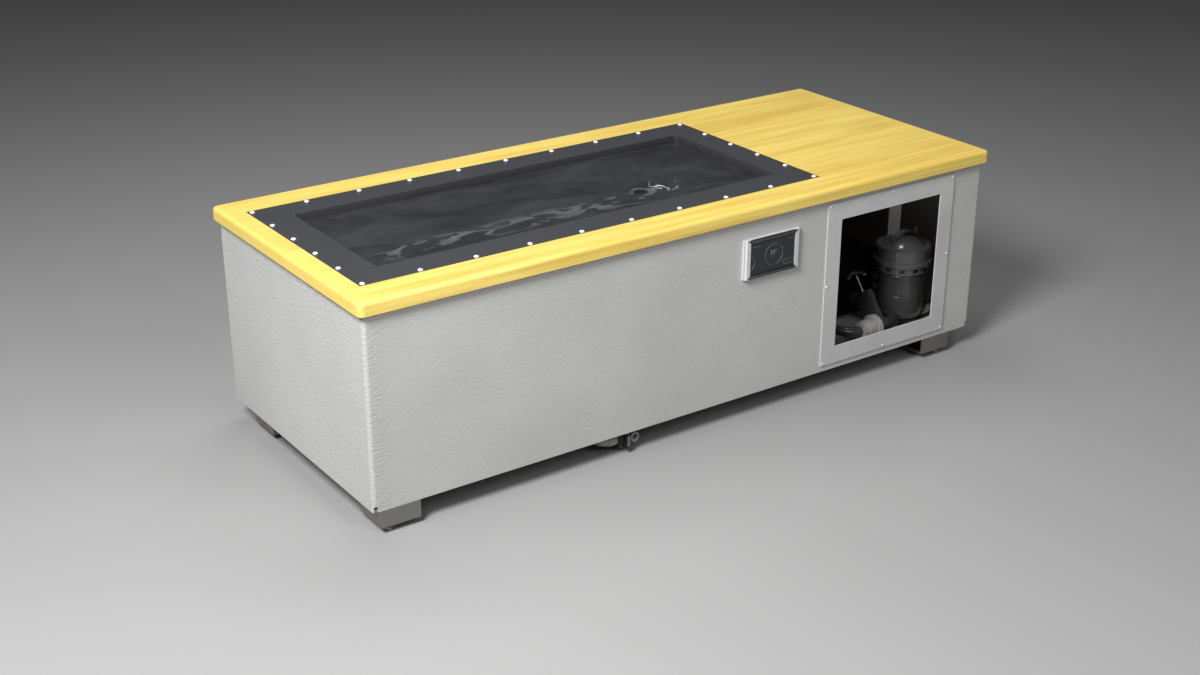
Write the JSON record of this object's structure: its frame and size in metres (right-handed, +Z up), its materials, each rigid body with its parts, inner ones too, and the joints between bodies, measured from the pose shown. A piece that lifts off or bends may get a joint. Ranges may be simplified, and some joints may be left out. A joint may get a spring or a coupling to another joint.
{
  "type": "cold plunge tub",
  "caption": "Long insulated plunge tub on four levelling feet, with a wooden top, a sunk black trough, a side control panel and an open service window onto its filter bay.",
  "frame": {"origin": "middle of the overall footprint, on the floor under the foot pads", "axes": "+X along the tub towards the solid wooden deck over the equipment bay, -Y the front with the control panel and the service window, +Z up"},
  "size_m": [2.257, 0.9144, 0.6855],
  "materials": {
    "deck_wood": "satin",
    "cabinet_coat": "matte",
    "frame_paint": "satin",
    "panel_metal": "satin",
    "panel_glass": "gloss",
    "black_plastic": "matte",
    "black_sheet": "satin",
    "liner_plastic": "satin",
    "screw_steel": "polished",
    "leg_steel": "satin",
    "pan_aluminium": "satin",
    "pale_plastic": "satin",
    "grey_plastic": "satin",
    "foam": "matte",
    "gasket_rubber": "matte",
    "hose_rubber": "satin",
    "band_steel": "polished",
    "cartridge_paper": "matte",
    "condenser_fins": "satin",
    "motor_metal": "satin",
    "batten": "satin",
    "bearer_metal": "satin"
  },
  "bodies": {
    "cabinet": {"top_deck": "deck_wood", "outer_shell": "cabinet_coat", "floor_pan": "pan_aluminium", "bearers": "bearer_metal", "foam_jacket": "foam", "bulkhead": "black_sheet", "end_lining": "black_plastic", "end_batten": "batten", "support_ring": "black_plastic", "flange_gasket": "gasket_rubber", "liner": "liner_plastic", "flange_screws": "screw_steel", "access_frame": "frame_paint", "access_screws": "screw_steel", "panel_housing": "black_plastic", "panel_bezel": "panel_metal", "panel_glass": "panel_glass", "leg_front_left": "leg_steel", "leg_front_right": "leg_steel", "leg_rear_left": "leg_steel", "leg_rear_right": "leg_steel", "leg_bolts": "screw_steel", "foot_nuts": "screw_steel", "filter_base": "black_plastic", "filter_body": "grey_plastic", "filter_cartridge": "cartridge_paper", "valve_body": "black_plastic", "valve_collar": "pale_plastic", "hose_coupling": "pale_plastic", "hose_band": "band_steel", "suction_hose": "hose_rubber", "chiller_pipe": "grey_plastic", "chiller_case": "black_sheet", "chiller_feet": "gasket_rubber", "chiller_compressor": "motor_metal", "chiller_condenser": "condenser_fins", "chiller_exchanger": "pale_plastic", "fan_motor": "motor_metal", "pump_body": "black_plastic", "return_pipe": "pale_plastic", "mixing_chamber": "grey_plastic", "suction_fitting": "liner_plastic", "jet_fitting": "liner_plastic", "drain_pipe": "pale_plastic", "drain_valve": "black_plastic", "control_box": "frame_paint", "vent_grille": "black_plastic", "power_gland": "black_plastic"},
    "foot_fl": {"foot_front_left": "leg_steel"},
    "foot_fr": {"foot_front_right": "leg_steel"},
    "foot_rl": {"foot_rear_left": "leg_steel"},
    "foot_rr": {"foot_rear_right": "leg_steel"},
    "lid": {"filter_lid": "grey_plastic"},
    "lock_ring": {"filter_lock_ring": "grey_plastic"},
    "bleed_knob": {"filter_relief_knob": "grey_plastic"},
    "slice_gate": {"valve_gate": "black_plastic"},
    "fan": {"chiller_fan": "black_plastic"},
    "rotor": {"pump_rotor": "pale_plastic"},
    "jet": {"jet_nozzle": "pale_plastic"},
    "drain_slide": {"drain_gate": "pale_plastic"}
  },
  "joints": [
    {"name": "foot_fl_level", "type": "slide", "parent": "cabinet", "child": "foot_fl", "axis": [0, 0, -1], "range_m": [0, 0.02]},
    {"name": "foot_fr_level", "type": "slide", "parent": "cabinet", "child": "foot_fr", "axis": [0, 0, -1], "range_m": [0, 0.02]},
    {"name": "foot_rl_level", "type": "slide", "parent": "cabinet", "child": "foot_rl", "axis": [0, 0, -1], "range_m": [0, 0.02]},
    {"name": "foot_rr_level", "type": "slide", "parent": "cabinet", "child": "foot_rr", "axis": [0, 0, -1], "range_m": [0, 0.02]},
    {"name": "lid_lift", "type": "slide", "parent": "cabinet", "child": "lid", "axis": [0, 0, 1], "range_m": [0, 0.12]},
    {"name": "lock_ring_turn", "type": "hinge", "parent": "lid", "child": "lock_ring", "pos_m": [0.958, -0.2747, 0.284], "axis": [0, 0, 1], "range_deg": [0, 45]},
    {"name": "bleed_turn", "type": "hinge", "parent": "lid", "child": "bleed_knob", "pos_m": [0.906, -0.2747, 0.378], "axis": [0, 0, 1], "range_deg": [0, 180]},
    {"name": "slice_gate_slide", "type": "slide", "parent": "cabinet", "child": "slice_gate", "axis": [0, 0.6211, 0.7837], "range_m": [-0.048, 0]},
    {"name": "fan_spin", "type": "hinge", "parent": "cabinet", "child": "fan", "pos_m": [0.665, 0.1778, 0.199], "axis": [0, 1, 0], "continuous": true},
    {"name": "rotor_spin", "type": "hinge", "parent": "cabinet", "child": "rotor", "pos_m": [0.85, -0.1322, 0.135], "axis": [0, 1, 0], "continuous": true},
    {"name": "jet_tilt", "type": "hinge", "parent": "cabinet", "child": "jet", "pos_m": [0.41187, -0.09, 0.52], "axis": [0, 1, 0], "range_deg": [-15, 15]},
    {"name": "drain_gate_pull", "type": "slide", "parent": "cabinet", "child": "drain_slide", "axis": [0, -1, 0], "range_m": [0, 0.042]}
  ]
}
